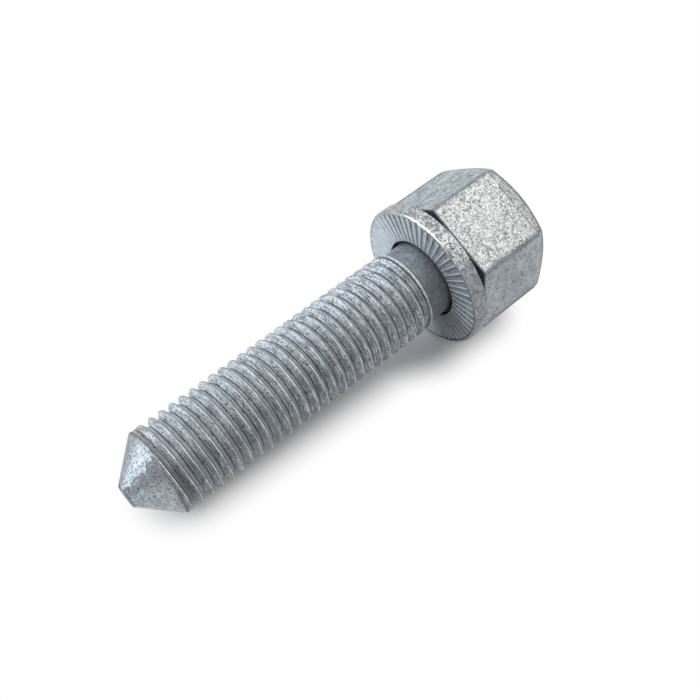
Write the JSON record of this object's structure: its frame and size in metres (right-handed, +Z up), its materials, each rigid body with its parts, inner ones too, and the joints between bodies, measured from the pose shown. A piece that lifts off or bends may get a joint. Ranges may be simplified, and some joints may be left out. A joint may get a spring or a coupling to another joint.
{
  "type": "hex flange bolt",
  "caption": "Hex flange bolt with a coarse right-hand thread, a cone point and a serrated bearing face, galvanised, lying at rest.",
  "frame": {"origin": "on the surface that the bolt lies on, under the middle of its bounding box", "axes": "+Z up; the head is at +X and the point at -X; the bolt's own axis lies in the XZ plane and dips about 6 degrees towards the point, because the flange rim and the far end of the thread touch the surface"},
  "size_m": [0.0844, 0.028, 0.0296],
  "materials": {
    "galvanised_steel": "hot-dip galvanised: satin light blue-grey zinc, mottled and finely pitted"
  },
  "bodies": {
    "root": {"flange_bolt": "galvanised_steel"}
  },
  "joints": []
}
